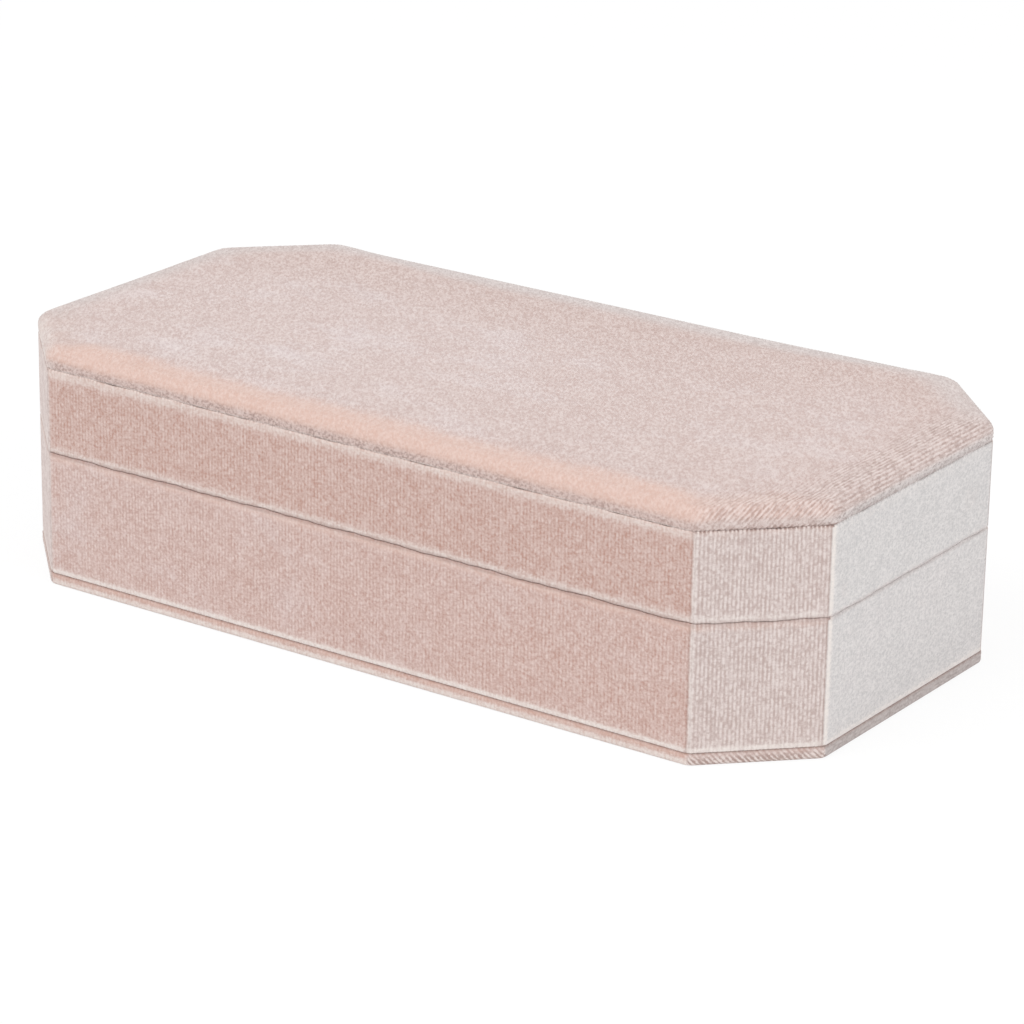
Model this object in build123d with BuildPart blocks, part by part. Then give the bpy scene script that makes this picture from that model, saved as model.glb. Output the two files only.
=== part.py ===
from build123d import *
import math
import os

os.makedirs("parts", exist_ok=True)

# A padded velvet box in the plan of a long octagon, with a hinged lid.
# X runs along its length, the front faces -Y, and Z = 0 is what it stands on.

# The closed box, over its velvet, in millimetres
box_length = 208.0
box_width = 105.0
corner_leg = 20.0
corner_round = 2.4
case_rim_height = 30.7
rim_gap = 0.4
lid_wall_height = 19.2

# Cloth and board
velvet = 0.6
wall_board = 2.4
lining = 0.6
bottom_board_thickness = 2.1
bottom_overhang = 0.4
hem_width = 10.0
floor_board_thickness = 1.2
top_board_thickness = 2.0

# The padded panel on the lid: its side tucks in at the foot, and its top swells to a crown
pad_rise = 4.6
pad_shoulder = 2.75
pad_crown = 0.8
pad_crown_reach = 24.0
pad_board_thickness = 1.2
pad_board_inset = 2.0
pad_draw_in = 0.5
pad_draw_height = 0.7
pad_corner_growth_share = 0.1
shoulder_steps = 4
crown_steps = 3

# The mirror in the lid
mirror_thickness = 2.0
mirror_backing_thickness = 1.0
mirror_margin = 6.0
mirror_lap = 2.5
mirror_frame_lip = 1.4

# Ring rolls and compartments
ring_section_length = 71.0
ring_roll_count = 6
roll_gap = 0.3
roll_drop = 6.7
ring_bed_thickness = 0.8
divider_card = 1.8
divider_drop = 3.0
rear_compartment_width = 34.0
short_divider_count = 2

# Bar magnets let into the front rims
magnet_length = 12.0
magnet_thickness = 1.6
magnet_height = 4.0
magnet_spacing = 60.0

# Two small stop hinges let into the rear walls
hinge_spacing = 110.0
hinge_length = 24.0
barrel_radius = 1.5
barrel_clearance = 0.25
pin_radius = 0.6
pin_running_clearance = 0.05
leaf_thickness = 0.8
leaf_height = 9.0
outer_knuckle_length = 7.0
knuckle_gap = 0.2
dog_length = 0.9
lid_dog_start = 90.0
lid_dog_angle = 120.0
open_angle = 105.0
stop_slack = 2.0
dog_reach_share = 4
rivet_spacing = 16.0
rivet_shank_radius = 0.9
rivet_head_radius = 1.6
rivet_head_depth = 0.6

# Heights and places that follow from those sizes
wall_stack = velvet + wall_board + lining
base_height = velvet + bottom_board_thickness
floor_top = base_height + floor_board_thickness
lining_top = floor_top + lining
bed_top = lining_top + ring_bed_thickness
case_board_top = case_rim_height - velvet
divider_top = case_rim_height - divider_drop
lid_rim_height = case_rim_height + rim_gap
lid_board_bottom = lid_rim_height + velvet
lid_wall_top = lid_rim_height + lid_wall_height
ceiling = lid_wall_top - top_board_thickness
mirror_top = ceiling - mirror_backing_thickness
mirror_bottom = mirror_top - mirror_thickness
frame_bottom = mirror_bottom - mirror_frame_lip
pad_top = lid_wall_top + pad_rise
inner_half_length = box_length / 2 - wall_stack
inner_half_width = box_width / 2 - wall_stack
divider_thickness = divider_card + 2 * velvet
hinge_y = box_width / 2
hinge_z = case_rim_height + rim_gap / 2
leaf_outer_y = box_width / 2 - velvet
leaf_inner_y = leaf_outer_y - leaf_thickness
board_inner_y = leaf_outer_y - wall_board

# Drawn in by a distance, an octagon's corner legs shorten by this share of it
leg_loss_share = 2 - math.sqrt(2)


def outline(height, inset, radius=0):
    """The box's plan at one height, drawn in by inset, its corners rounded by radius."""
    half_x = box_length / 2 - inset
    half_y = box_width / 2 - inset
    leg = corner_leg - inset * leg_loss_share
    with BuildSketch(Plane.XY.offset(height)) as plan:
        Polygon(
            (half_x - leg, -half_y),
            (half_x, -half_y + leg),
            (half_x, half_y - leg),
            (half_x - leg, half_y),
            (-half_x + leg, half_y),
            (-half_x, half_y - leg),
            (-half_x, -half_y + leg),
            (-half_x + leg, -half_y),
            align=None,
        )
        if radius > 0:
            fillet(plan.vertices(), radius=radius)
    return plan.sketch


def slab(bottom, top, inset, mode=Mode.ADD):
    """An octagonal slab whose corner rounding follows the cloth's outer rounding."""
    radius = max(corner_round - inset, 0)
    extrude(outline(bottom, inset, radius), amount=top - bottom, mode=mode)


def block(x_span, y_span, z_span, mode=Mode.ADD):
    """A straight block between two x, two y and two z places."""
    with BuildSketch(Plane.XY.offset(z_span[0])) as foot:
        with Locations((sum(x_span) / 2, sum(y_span) / 2)):
            Rectangle(x_span[1] - x_span[0], y_span[1] - y_span[0])
    extrude(foot.sketch, amount=z_span[1] - z_span[0], mode=mode)


def save(piece, name):
    """Label a finished piece and write it."""
    piece.part.label = name
    export_step(piece.part, f"parts/{name}.step")


# Stop hinges: a rivet, a knuckle and a dog are round the hinge line or square to the wall


def rivets(height, name):
    """Flush rivets through leaf and wall board, two to a leaf, at one height."""
    with BuildPart() as group:
        for centre in (-hinge_spacing / 2, hinge_spacing / 2):
            for side in (-rivet_spacing / 2, rivet_spacing / 2):
                with BuildSketch(Plane.YZ.offset(centre + side)) as half:
                    Polygon(
                        (board_inner_y, height),
                        (board_inner_y, height + rivet_head_radius),
                        (board_inner_y + rivet_head_depth, height + rivet_shank_radius),
                        (leaf_outer_y - rivet_head_depth, height + rivet_shank_radius),
                        (leaf_outer_y, height + rivet_head_radius),
                        (leaf_outer_y, height),
                        align=None,
                    )
                middle = (centre + side, board_inner_y, height)
                revolve(half.sketch, axis=Axis(middle, (0, 1, 0)))
    save(group, name)
    return group.part


def knuckle(x_span, bore):
    """A tube round the hinge line."""
    with BuildSketch(Plane.YZ.offset(x_span[0])) as ring:
        with Locations((hinge_y, hinge_z)):
            Circle(barrel_radius)
            Circle(bore, mode=Mode.SUBTRACT)
    extrude(ring.sketch, amount=x_span[1] - x_span[0])


def dog(x_span, bore, start, sweep):
    """The part of a knuckle between two angles, which meets the other leaf's dog at the stop."""
    reach = barrel_radius * dog_reach_share
    with BuildSketch(Plane.YZ.offset(x_span[0])) as sector:
        with Locations((hinge_y, hinge_z)):
            Circle(barrel_radius)
            Circle(bore, mode=Mode.SUBTRACT)
            corners = [(0, 0)]
            for share in (0, 0.5, 1):
                angle = math.radians(start + sweep * share)
                corners.append((reach * math.cos(angle), reach * math.sin(angle)))
            Polygon(*corners, align=None, mode=Mode.INTERSECT)
    extrude(sector.sketch, amount=x_span[1] - x_span[0])


def span(centre, end, inner, outer):
    """The x places of a stretch from inner to outer, on one end of a hinge."""
    return sorted((centre + end * inner, centre + end * outer))


half_hinge = hinge_length / 2
outer_knuckle_face = half_hinge - outer_knuckle_length
middle_knuckle_face = outer_knuckle_face - dog_length - knuckle_gap
plate_start = barrel_radius + knuckle_gap
rivet_drop = (leaf_height + plate_start) / 2
lid_bore = pin_radius + pin_running_clearance
case_dog_start = lid_dog_start + lid_dog_angle + stop_slack
case_dog_angle = 360 - lid_dog_angle - open_angle - 2 * stop_slack
leaf_y = (leaf_inner_y, leaf_outer_y)

case_rivets = rivets(hinge_z - rivet_drop, "case_hinge_rivets")
lid_rivets = rivets(hinge_z + rivet_drop, "lid_hinge_rivets")

for side_name, hinge_x in (("left", -hinge_spacing / 2), ("right", hinge_spacing / 2)):
    plate_x = (hinge_x - half_hinge, hinge_x + half_hinge)
    with BuildPart() as case_leaf:
        block(plate_x, leaf_y, (hinge_z - leaf_height, hinge_z - plate_start))
        for end in (-1, 1):
            knuckle_x = span(hinge_x, end, outer_knuckle_face, half_hinge)
            dog_x = span(hinge_x, end, outer_knuckle_face - dog_length, outer_knuckle_face)
            block(knuckle_x, leaf_y, (hinge_z - plate_start, hinge_z - pin_radius))
            knuckle(knuckle_x, pin_radius)
            dog(dog_x, pin_radius, case_dog_start, case_dog_angle)
        add(case_rivets, mode=Mode.SUBTRACT)
    save(case_leaf, f"{side_name}_hinge_case_leaf")

    with BuildPart() as lid_leaf:
        block(plate_x, leaf_y, (hinge_z + plate_start, hinge_z + leaf_height))
        middle_x = (hinge_x - middle_knuckle_face, hinge_x + middle_knuckle_face)
        block(middle_x, leaf_y, (hinge_z + pin_radius, hinge_z + plate_start))
        knuckle(middle_x, lid_bore)
        for end in (-1, 1):
            dog_x = span(hinge_x, end, middle_knuckle_face, middle_knuckle_face + dog_length)
            dog(dog_x, lid_bore, lid_dog_start, lid_dog_angle)
        add(lid_rivets, mode=Mode.SUBTRACT)
    save(lid_leaf, f"{side_name}_hinge_lid_leaf")

    with BuildPart() as hinge_pin:
        with BuildSketch(Plane.YZ.offset(plate_x[0])) as pin_end:
            with Locations((hinge_y, hinge_z)):
                Circle(pin_radius)
        extrude(amount=hinge_length)
    save(hinge_pin, f"{side_name}_hinge_pin")


def clear_barrels():
    """Cut the round notches in which the two hinge barrels lie."""
    notch_length = hinge_length + 2 * barrel_clearance
    for centre in (-hinge_spacing / 2, hinge_spacing / 2):
        with BuildSketch(Plane.YZ.offset(centre - notch_length / 2)) as notch:
            with Locations((hinge_y, hinge_z)):
                Circle(barrel_radius + barrel_clearance)
        extrude(notch.sketch, amount=notch_length, mode=Mode.SUBTRACT)


def recess_leaves(z_span):
    """Cut the shallow seats of the two leaves into a wall board's outer face."""
    for centre in (-hinge_spacing / 2, hinge_spacing / 2):
        seat_x = (centre - half_hinge, centre + half_hinge)
        block(seat_x, (leaf_inner_y, hinge_y), z_span, mode=Mode.SUBTRACT)


# Magnets, one pair in each front rim


def magnets(z_span, name):
    """Two bar magnets in the middle of a front wall board."""
    middle_y = velvet + wall_board / 2 - box_width / 2
    bar_y = (middle_y - magnet_thickness / 2, middle_y + magnet_thickness / 2)
    with BuildPart() as pair:
        for centre in (-magnet_spacing / 2, magnet_spacing / 2):
            bar_x = (centre - magnet_length / 2, centre + magnet_length / 2)
            block(bar_x, bar_y, z_span)
    save(pair, name)
    return pair.part


case_magnets = magnets((case_board_top - magnet_height, case_board_top), "case_magnets")
lid_magnets = magnets((lid_board_bottom, lid_board_bottom + magnet_height), "lid_magnets")

# The bottom: a board in velvet turned under its edge, closed by a sheet of felt

bottom_board_inset = velvet - bottom_overhang
felt_inset = hem_width - bottom_overhang

with BuildPart() as bottom_board:
    slab(velvet, base_height, bottom_board_inset)
save(bottom_board, "bottom_board")

with BuildPart() as bottom_cover:
    slab(0, base_height, -bottom_overhang)
    slab(0, velvet, felt_inset, mode=Mode.SUBTRACT)
    add(bottom_board.part, mode=Mode.SUBTRACT)
save(bottom_cover, "bottom_cover")

with BuildPart() as underside_felt:
    slab(0, velvet, felt_inset)
save(underside_felt, "underside_felt")

# The case: wall board, velvet over its outside and rim, lining inside

with BuildPart() as case_wall_board:
    slab(base_height, case_board_top, velvet)
    slab(base_height, case_board_top, velvet + wall_board, mode=Mode.SUBTRACT)
    recess_leaves((hinge_z - leaf_height, case_rim_height))
    clear_barrels()
    add(case_magnets, mode=Mode.SUBTRACT)
    add(case_rivets, mode=Mode.SUBTRACT)
save(case_wall_board, "case_wall_board")

with BuildPart() as case_wall_cover:
    slab(base_height, case_rim_height, 0)
    slab(case_board_top, case_rim_height, velvet + wall_board, mode=Mode.SUBTRACT)
    slab(base_height, case_board_top, velvet, mode=Mode.SUBTRACT)
    clear_barrels()
save(case_wall_cover, "case_wall_cover")

with BuildPart() as case_lining:
    slab(base_height, case_rim_height, velvet + wall_board)
    slab(base_height, case_rim_height, wall_stack, mode=Mode.SUBTRACT)
save(case_lining, "case_lining")

with BuildPart() as floor_board:
    slab(base_height, floor_top, wall_stack)
save(floor_board, "floor_board")

with BuildPart() as floor_lining:
    slab(floor_top, lining_top, wall_stack)
save(floor_lining, "floor_lining")

# Ring rolls: soft round-topped strips side by side on a card, cut off square to the corners

ring_divider_left = ring_section_length - inner_half_length
ring_divider_right = ring_divider_left + divider_thickness
roll_pitch = ring_section_length / ring_roll_count
roll_width = roll_pitch - roll_gap
roll_crest = case_rim_height - roll_drop
across = (-inner_half_width, inner_half_width)

with BuildPart() as ring_bed:
    block((-inner_half_length, ring_divider_left), across, (lining_top, bed_top))
    slab(lining_top, bed_top, wall_stack, mode=Mode.INTERSECT)
save(ring_bed, "ring_bed")

for number in range(ring_roll_count):
    roll_x = roll_pitch * (number + 0.5) - inner_half_length
    with BuildPart() as ring_roll:
        with BuildSketch(Plane.XZ) as roll_end:
            with Locations((roll_x, (bed_top + roll_crest - roll_width / 2) / 2)):
                Rectangle(roll_width, roll_crest - roll_width / 2 - bed_top)
            with Locations((roll_x, roll_crest - roll_width / 2)):
                Circle(roll_width / 2)
        extrude(amount=inner_half_width, both=True)
        slab(bed_top, roll_crest, wall_stack + roll_gap, mode=Mode.INTERSECT)
    save(ring_roll, f"ring_roll_{number + 1}")

# Dividers: each is a card with velvet folded over it

card_side = (velvet, velvet + divider_card)


def divider(x_span, y_span, name, along_x):
    """A card between two places with velvet down both sides and over its top edge."""
    card_x = x_span
    card_y = y_span
    if along_x:
        card_y = (y_span[0] + card_side[0], y_span[0] + card_side[1])
    else:
        card_x = (x_span[0] + card_side[0], x_span[0] + card_side[1])
    with BuildPart() as card:
        block(card_x, card_y, (lining_top, divider_top - velvet))
    save(card, f"{name}_card")
    with BuildPart() as cover:
        block(x_span, y_span, (lining_top, divider_top))
        add(card.part, mode=Mode.SUBTRACT)
    save(cover, f"{name}_cover")


long_divider_rear = inner_half_width - rear_compartment_width
long_divider_front = long_divider_rear - divider_thickness
front_cell_length = (
    inner_half_length - ring_divider_right - short_divider_count * divider_thickness
) / (short_divider_count + 1)

divider((ring_divider_left, ring_divider_right), across, "ring_divider", False)
divider(
    (ring_divider_right, inner_half_length),
    (long_divider_front, long_divider_rear),
    "long_divider",
    True,
)
for number in range(short_divider_count):
    cell_end = ring_divider_right + front_cell_length * (number + 1) + divider_thickness * number
    divider(
        (cell_end, cell_end + divider_thickness),
        (-inner_half_width, long_divider_front),
        f"short_divider_{number + 1}",
        False,
    )

# The lid: wall board under a top board, velvet over its outside and rim, lining inside

with BuildPart() as lid_wall_board:
    slab(lid_board_bottom, ceiling, velvet)
    slab(lid_board_bottom, ceiling, velvet + wall_board, mode=Mode.SUBTRACT)
    recess_leaves((lid_rim_height, hinge_z + leaf_height))
    clear_barrels()
    add(lid_magnets, mode=Mode.SUBTRACT)
    add(lid_rivets, mode=Mode.SUBTRACT)
save(lid_wall_board, "lid_wall_board")

with BuildPart() as lid_top_board:
    slab(ceiling, lid_wall_top, velvet)
save(lid_top_board, "lid_top_board")

with BuildPart() as lid_wall_cover:
    slab(lid_rim_height, lid_wall_top, 0)
    slab(lid_rim_height, lid_board_bottom, velvet + wall_board, mode=Mode.SUBTRACT)
    slab(lid_board_bottom, lid_wall_top, velvet, mode=Mode.SUBTRACT)
    clear_barrels()
save(lid_wall_cover, "lid_wall_cover")

with BuildPart() as lid_lining:
    slab(lid_rim_height, ceiling, velvet + wall_board)
    slab(lid_rim_height, ceiling, wall_stack, mode=Mode.SUBTRACT)
save(lid_lining, "lid_lining")

# The mirror: glass on a card, held by a velvet frame that laps its edge

with BuildPart() as mirror_backing:
    slab(mirror_top, ceiling, wall_stack)
save(mirror_backing, "mirror_backing")

with BuildPart() as mirror:
    slab(mirror_bottom, mirror_top, wall_stack + mirror_margin)
save(mirror, "mirror")

with BuildPart() as mirror_frame:
    slab(frame_bottom, mirror_top, wall_stack)
    slab(frame_bottom, mirror_top, wall_stack + mirror_margin + mirror_lap, mode=Mode.SUBTRACT)
    add(mirror.part, mode=Mode.SUBTRACT)
save(mirror_frame, "mirror_frame")

# The padded panel: foam over a board, in velvet drawn round its edge


def pad_sections(shell):
    """Outlines of the pad up its side, round its shoulder and over its crown, shell mm inside it."""
    radius = pad_shoulder - shell
    rings = [(lid_wall_top, pad_draw_in + shell), (lid_wall_top + pad_draw_height, shell)]
    for step in range(shoulder_steps + 1):
        angle = math.radians(90 * step / shoulder_steps)
        height = pad_top - pad_shoulder + radius * math.sin(angle)
        rings.append((height, pad_shoulder - radius * math.cos(angle)))
    for step in range(1, crown_steps + 1):
        share = step / crown_steps
        height = pad_top - shell + pad_crown * (1 - (1 - share) ** 2)
        rings.append((height, pad_shoulder + pad_crown_reach * share))
    faces = []
    for height, inset in rings:
        radius = corner_round + pad_corner_growth_share * inset
        faces.append(outline(height, inset, radius).face())
    return faces


with BuildPart() as pad_core:
    loft(pad_sections(velvet), ruled=True)

with BuildPart() as lid_pad_board:
    slab(lid_wall_top, lid_wall_top + pad_board_thickness, pad_board_inset)
save(lid_pad_board, "lid_pad_board")

with BuildPart() as lid_pad_foam:
    add(pad_core.part)
    add(lid_pad_board.part, mode=Mode.SUBTRACT)
save(lid_pad_foam, "lid_pad_foam")

with BuildPart() as lid_pad_cover:
    loft(pad_sections(0), ruled=True)
    add(pad_core.part, mode=Mode.SUBTRACT)
save(lid_pad_cover, "lid_pad_cover")
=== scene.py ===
# %% [markdown]
# A travel jewelry box covered in ribbed velvet: a long octagon in plan, with a
# padded lid, a card-thin seam all round where it opens, and a covered board
# under it. The boards, the mirror and the hinges come from the CAD frame, and
# this script makes every soft piece around them, and all the finishes.

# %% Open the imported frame
import math

import bpy
import numpy as np
from mathutils import Matrix, Vector


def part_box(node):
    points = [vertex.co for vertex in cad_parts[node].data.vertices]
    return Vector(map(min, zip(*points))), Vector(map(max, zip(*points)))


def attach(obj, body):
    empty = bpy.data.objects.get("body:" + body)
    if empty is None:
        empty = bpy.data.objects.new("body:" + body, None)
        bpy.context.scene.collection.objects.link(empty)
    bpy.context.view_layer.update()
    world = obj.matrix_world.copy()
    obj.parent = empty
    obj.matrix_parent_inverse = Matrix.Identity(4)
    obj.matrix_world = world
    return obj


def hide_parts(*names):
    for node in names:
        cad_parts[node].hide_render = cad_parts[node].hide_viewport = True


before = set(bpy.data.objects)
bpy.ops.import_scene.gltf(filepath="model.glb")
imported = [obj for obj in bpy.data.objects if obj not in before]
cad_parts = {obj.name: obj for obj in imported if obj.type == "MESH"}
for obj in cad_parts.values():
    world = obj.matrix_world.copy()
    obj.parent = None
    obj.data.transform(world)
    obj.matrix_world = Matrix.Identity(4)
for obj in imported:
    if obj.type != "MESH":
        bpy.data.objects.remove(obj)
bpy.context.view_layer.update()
MM = 0.001

# %% [markdown]
# The photograph shows the box from its front right and a little above, from
# far off, so its edges hardly converge. The camera is set by the angle round
# the box, the height, the distance and a slight roll. A long lens does the rest.

# %% Camera
view_azimuth = math.radians(34.72)
view_elevation = math.radians(20.11)
view_roll = math.radians(0.972)
view_distance = 915.8 * MM
view_target = Vector((6.54, -4.04, 23.1)) * MM

backward = Vector((
    math.sin(view_azimuth) * math.cos(view_elevation),
    -math.cos(view_azimuth) * math.cos(view_elevation),
    math.sin(view_elevation),
))
level_right = Vector((math.cos(view_azimuth), math.sin(view_azimuth), 0))
level_up = backward.cross(level_right)
right = math.cos(view_roll) * level_right + math.sin(view_roll) * level_up
upward = math.cos(view_roll) * level_up - math.sin(view_roll) * level_right


def deselect():
    """Leaves no object selected."""
    bpy.ops.object.select_all(action="DESELECT")


deselect()
bpy.ops.object.camera_add()
camera = bpy.context.object
camera.data.sensor_width = 36
camera.data.lens = 147.82
camera.data.clip_start = 0.05
turn = Matrix((right, upward, backward)).transposed().to_4x4()
camera.matrix_world = Matrix.Translation(view_target + backward * view_distance) @ turn
bpy.context.scene.camera = camera
print("camera at", [round(c, 3) for c in camera.location])

# %% [markdown]
# The picture is lit by large soft lamps on a white table. A bright world
# gives most of the light, a broad lamp above the front models the pad, and a
# second one on the right lights the end. The table looks white to the camera
# and keeps a faint shadow of the box. Shader nodes are added by short functions
# that link each input given as a socket and set each one given as a value.

# %% Light and table
scene = bpy.context.scene
scene.view_settings.view_transform = "Standard"
white = (1, 1, 1, 1)
room_strength = 0.7
table_grey = (0.9, 0.9, 0.9, 1)
table_glow = 1.03
glow_share = 0.85
table_size = 8


def feed(node, inputs):
    """Links or sets a node's inputs, given by name or number, and returns the node."""
    for place, value in inputs.items():
        if isinstance(value, bpy.types.NodeSocket):
            node.id_data.links.new(value, node.inputs[place])
        else:
            node.inputs[place].default_value = value
    return node


def add_node(tree, kind, inputs={}, **settings):
    """Adds a shader node, sets its properties and feeds its inputs."""
    node = tree.nodes.new("ShaderNode" + kind)
    for name, value in settings.items():
        setattr(node, name, value)
    return feed(node, inputs)


def join(kind, inputs, **settings):
    """Adds a shader node to the tree of the sockets that it takes."""
    tree = next(value.id_data for value in inputs.values() if isinstance(value, bpy.types.NodeSocket))
    return add_node(tree, kind, inputs, **settings)


def calc(operation, *values):
    """Adds a math node on up to three sockets or numbers and returns its result."""
    return join("Math", dict(enumerate(values)), operation=operation).outputs[0]


def shade_twice(owner, output, kinds, first, second, share):
    """Gives a world or material one shader for the light on the box and a share of another to be seen.

    The second is seen by the camera, in a mirror and through glass.
    """
    owner.use_nodes = True
    tree = owner.node_tree
    tree.nodes.clear()
    path = add_node(tree, "LightPath").outputs
    seen = path["Is Camera Ray"]
    for ray in ("Is Glossy Ray", "Is Transmission Ray"):
        seen = calc("MAXIMUM", seen, path[ray])
    lit, shown = (add_node(tree, kind, given).outputs[0] for kind, given in zip(kinds, (first, second)))
    mixed = join("MixShader", {0: calc("MULTIPLY", seen, share), 1: lit, 2: shown})
    join(output, {"Surface": mixed.outputs[0]})


def lamp(name, place, size, power):
    """Adds a square soft lamp that points at the middle of the box."""
    deselect()
    bpy.ops.object.light_add(type="AREA", location=place)
    soft = bpy.context.object
    soft.name = name
    soft.data.size = size
    soft.data.energy = power
    soft.rotation_euler = (Vector(place) - view_target).to_track_quat("Z", "Y").to_euler()


scene.world = bpy.data.worlds.new("soft_room")
shade_twice(
    scene.world, "OutputWorld", ("Background", "Background"),
    {"Color": white, "Strength": room_strength}, {"Color": white, "Strength": 1}, 1)
lamp("lamp_over_the_front", (-0.5, -0.9, 1.5), 1.2, 11)
lamp("lamp_on_the_right", (1.5, -0.2, 0.9), 1.0, 7.5)

deselect()
bpy.ops.mesh.primitive_plane_add(size=table_size)
table = bpy.context.object
table.name = "table"
table_top = bpy.data.materials.new("white_table")
shade_twice(
    table_top, "OutputMaterial", ("BsdfDiffuse", "Emission"),
    {"Color": table_grey}, {"Strength": table_glow}, glow_share)
table.data.materials.append(table_top)
print("lamps and table are in place")

# %% [markdown]
# Every cloth piece follows the same plan, a rectangle with its corners cut
# off. Its eight sides are listed once, with the way each faces, how far it is
# from the middle and where it lies along the way round. The cloth's ribs are
# counted along that way, so their pitch is fitted to go round a whole number
# of times. Sides 0, 2, 4 and 6 are the front, the right end, the rear and the
# left end, and the odd ones are the cut corners between them.

# %% The plan of the box and the ribs of its cloth
wall_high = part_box("case_wall_cover")[1]
half_length = wall_high.x
half_width = wall_high.y
corner_leg = 20 * MM
corner_round = 2.4 * MM
least_round = 0.3 * MM
leg_loss_share = 2 - math.sqrt(2)
usual_rib_pitch = 0.86 * MM
half_corner = math.radians(22.5)
front_left = 7
cut_corners = (1, 3, 5, 7)

side_angle = np.radians([-90, -45, 0, 45, 90, 135, 180, 225])
side_out = np.stack([np.cos(side_angle), np.sin(side_angle)], 1)
side_along = np.stack([-np.sin(side_angle), np.cos(side_angle)], 1)
chamfer_distance = (half_length + half_width - corner_leg) / math.sqrt(2)
side_distance = np.array([half_width, chamfer_distance, half_length, chamfer_distance] * 2)
chamfer_length = corner_leg * math.sqrt(2)
front_length = 2 * (half_length - corner_leg)
end_length = 2 * (half_width - corner_leg)
side_length = np.array([front_length, chamfer_length, end_length, chamfer_length] * 2)
chamfer_middle = (half_length - half_width) / math.sqrt(2)
side_middle = np.array([0, chamfer_middle, 0, -chamfer_middle] * 2)
side_start = np.concatenate([[0], np.cumsum(side_length)[:-1]])
way_round = side_length.sum()
rib_count = round(way_round / usual_rib_pitch)
rib_pitch = way_round / rib_count
print("walls", round(2 * half_length / MM, 1), "by", round(2 * half_width / MM, 1), "mm,", rib_count, "ribs")


def plan_places(points):
    """For points as an array: the nearest side's number, and how far inside it each lies."""
    depth = side_distance - points[:, :2] @ side_out.T
    side = depth.argmin(1)
    return side, depth[np.arange(len(points)), side]


def distance_round(points, side):
    """How far round the box points on given sides lie, in metres from the front left corner."""
    along = (points[:, :2] * side_along[side]).sum(1) - side_middle[side]
    return side_start[side] + side_length[side] / 2 + along


# %% [markdown]
# The pieces' points are read into arrays and put back, and their parts are
# selected in code, by place, before an operator acts on them.

# %% Reading, selecting and cutting
def read(items, name, width, kind=float):
    """Reads one property of a mesh's vertices, edges, corners or faces into an array."""
    flat = np.empty(len(items) * width, kind)
    items.foreach_get(name, flat)
    return flat.reshape(-1, width) if width > 1 else flat


def points_of(piece):
    """A piece's vertices."""
    return read(piece.data.vertices, "co", 3)


def edges_of(piece):
    """The two vertex numbers of each edge."""
    return read(piece.data.edges, "vertices", 2, int)


def move_points(piece, points):
    """Puts a piece's vertices where the array says."""
    piece.data.vertices.foreach_set("co", points.ravel())
    piece.data.update()


def push_out(piece, amount):
    """Moves each vertex along its normal by its own amount."""
    normals = read(piece.data.vertices, "normal", 3)
    move_points(piece, points_of(piece) + normals * amount[:, None])


def pick(piece):
    """Selects one object alone and makes it the active one."""
    deselect()
    bpy.context.view_layer.objects.active = piece
    piece.select_set(True)


def edit_all():
    """Enters edit mode with the whole mesh selected."""
    bpy.ops.object.mode_set(mode="EDIT")
    bpy.ops.mesh.select_all(action="SELECT")


def leave_edit():
    """Goes back to object mode."""
    bpy.ops.object.mode_set(mode="OBJECT")


def face_outwards():
    """Turns the active piece's faces outwards."""
    edit_all()
    bpy.ops.mesh.normals_make_consistent(inside=False)
    leave_edit()


def slice_all(place, way, **options):
    """Cuts the whole mesh in edit mode by a plane."""
    edit_all()
    bpy.ops.mesh.bisect(plane_co=place, plane_no=way, **options)


def select_only(piece, kind, wanted):
    """Enters edit mode with just the wanted vertices or edges selected, by number or mark."""
    bpy.ops.object.mode_set(mode="EDIT")
    bpy.ops.mesh.select_mode(type=kind)
    bpy.ops.mesh.select_all(action="DESELECT")
    leave_edit()
    parts = {"VERT": piece.data.vertices, "EDGE": piece.data.edges}[kind]
    marks = np.zeros(len(parts), bool)
    marks[wanted] = True
    parts.foreach_set("select", marks)
    bpy.ops.object.mode_set(mode="EDIT")


def apply_place():
    """Puts the active object's place, turn and scale into its mesh."""
    bpy.ops.object.transform_apply(location=True, rotation=True, scale=True)


# %% [markdown]
# A ring of cloth round the box is modelled as by hand: a plane is scaled to
# the plan, its four corners are cut off by a vertex bevel, and a second
# vertex bevel rounds the eight corners that this leaves. One such outline is
# made for each corner of the cloth's cross-section, and the outlines are
# bridged one to the next. Every outline has the same number of points, so
# the bridges are clean quads. Bridging twists where two outlines lie in one
# plane, so they are stacked apart for it and then brought to their heights.

# %% Outlines and rings
corner_segments = 4
outline_points = 8 * (corner_segments + 1)
stack_step = 10 * MM
tiny = 0.01 * MM
edge_slack = 0.25 * MM


def outline(inset, height):
    """Adds one flat outline of the plan, drawn in by inset, at a height."""
    deselect()
    bpy.ops.mesh.primitive_plane_add(size=2, location=(0, 0, height))
    plan = bpy.context.object
    plan.scale = (half_length - inset, half_width - inset, 1)
    apply_place()
    leg = corner_leg - inset * leg_loss_share
    tangent = max(corner_round - inset, least_round) * math.tan(half_corner)
    for offset, segments in ((leg, 1), (tangent, corner_segments)):
        edit_all()
        bpy.ops.mesh.bevel(offset=offset, affect="VERTICES", segments=segments, clamp_overlap=False)
    leave_edit()
    return plan


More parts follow.
